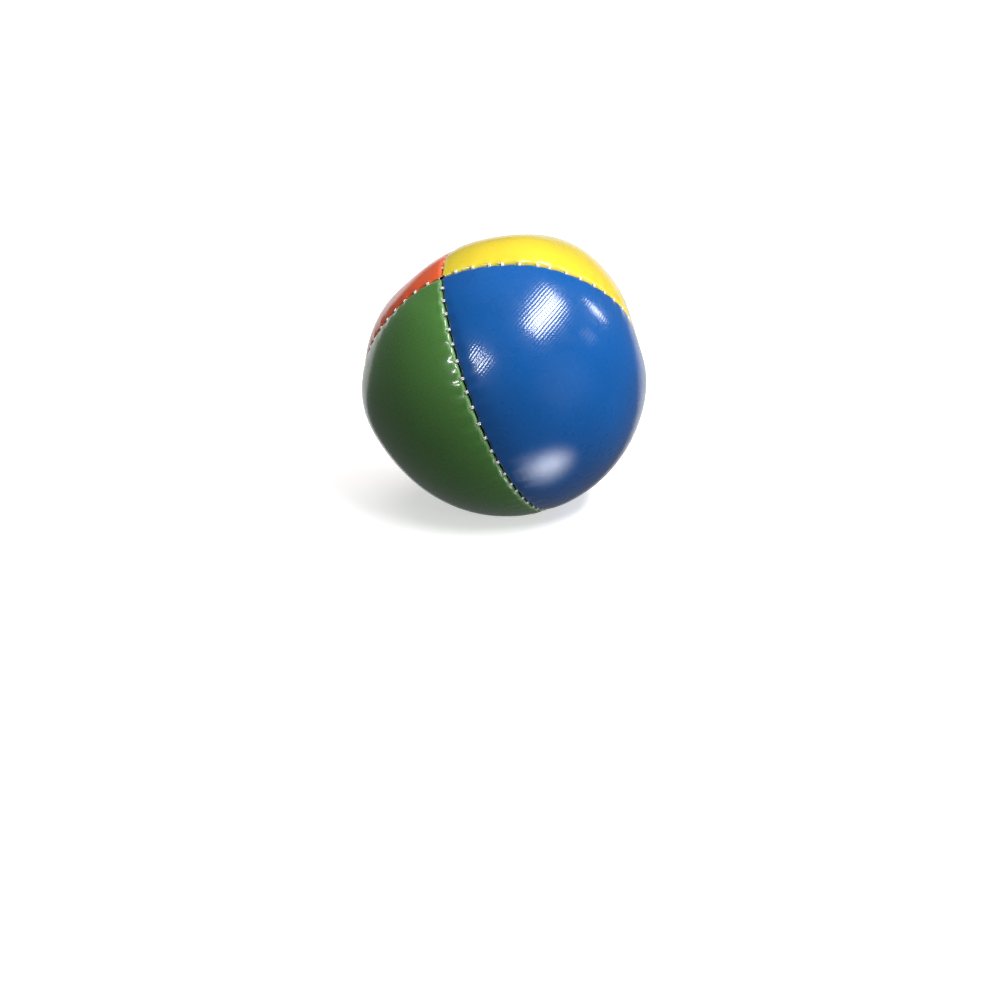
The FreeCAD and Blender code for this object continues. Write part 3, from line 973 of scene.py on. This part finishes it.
def soft_box(name, toward, upper, width, length, distance, radiance):
    """An oval soft box that shines on the ball from a direction, with its length towards upper."""
    lamp = bpy.data.lights.new(name, "AREA")
    lamp.shape = "ELLIPSE"
    lamp.size, lamp.size_y = width, length
    lamp.energy = radiance * math.pi * width * length * math.pi / 4
    made = bpy.data.objects.new(name, lamp)
    bpy.context.scene.collection.objects.link(made)
    out = Vector(toward).normalized()
    along = Vector(upper) - out * out.dot(Vector(upper))
    along.normalize()
    side = along.cross(out)
    made.matrix_world = Matrix((
        (side.x, along.x, out.x, ball_centre.x + out.x * distance),
        (side.y, along.y, out.y, ball_centre.y + out.y * distance),
        (side.z, along.z, out.z, ball_centre.z + out.z * distance),
        (0, 0, 0, 1),
    ))
    return made


NEAR, ABOVE, FAR = 0.6, 1.3, 1.4
# four of the boxes show as highlights in the gloss
soft_box("key", (0.444, -0.397, 0.803), (0.2, 0.48, 0.12), 0.12, 0.42, NEAR, 23)
left_window = soft_box(
    "left_window", (-0.392, -0.853, 0.355), (0.745, -0.158, 0.648), 0.045, 0.20, NEAR, 34)
left_window.visible_diffuse = False
soft_box("right_strip", (0.809, 0.183, 0.559), (-0.13, -0.06, 0.21), 0.05, 0.115, NEAR, 16)
soft_box("right_glow", (0.857, -0.176, 0.484), (0.3, 0.4, 0.1), 0.03, 0.11, NEAR, 4)
# two are large and only give even light, and the last stands behind
overhead = soft_box("overhead", (0, 0, 1), (0, 1, 0), 1.3, 1.3, ABOVE, 1.85)
overhead.visible_glossy = False
front = soft_box("front", (0.72, -0.69, 0.06), (0, 0, 1), 1.2, 1.0, FAR, 3.7)
front.visible_glossy = False
soft_box("back_wall", (0, 1, -0.08), (0, 0, 1), 3.0, 1.3, FAR, 0.6)
# Pale cards lie on the floor in front, out of the camera's sight, and show low in the gloss. Each
# is smaller, brighter and a little higher than the last.
CARDS = 5
for step in range(CARDS):
    share = 1 - 0.18 * step
    width, length, radiance = 0.023 * share, 0.036 * share, 0.35 + 0.55 * step
    card = soft_box(f"card_{step}", (0, 0, -1), (0, 1, 0), width, length, 0.03, radiance)
    lying = Euler((math.pi, 0, math.pi / 2)).to_matrix().to_4x4()
    card.matrix_world = Matrix.Translation(Vector((18, -35, 1 + 0.1 * step)) * MM) @ lying
    card.visible_camera = False
    card.visible_diffuse = False

world = bpy.data.worlds.new("studio")
bpy.context.scene.world = world
world.use_nodes = True
world.node_tree.nodes["Background"].inputs["Color"].default_value = linear("#f2f5fa")
world.node_tree.nodes["Background"].inputs["Strength"].default_value = 0.15

CAMERA_PITCH = 19.5       # degrees below level
lens = bpy.data.cameras.new("camera")
lens.lens, lens.sensor_width = 30.6, 36
lens.clip_start = 0.005
camera = bpy.data.objects.new("camera", lens)
bpy.context.scene.collection.objects.link(camera)
camera.location = ball_centre + Vector((-1.367, -195.138, 38.989)) * MM
camera.rotation_euler = (math.radians(90 - CAMERA_PITCH), 0, 0)
bpy.context.scene.camera = camera
bpy.context.scene.view_settings.view_transform = "Standard"
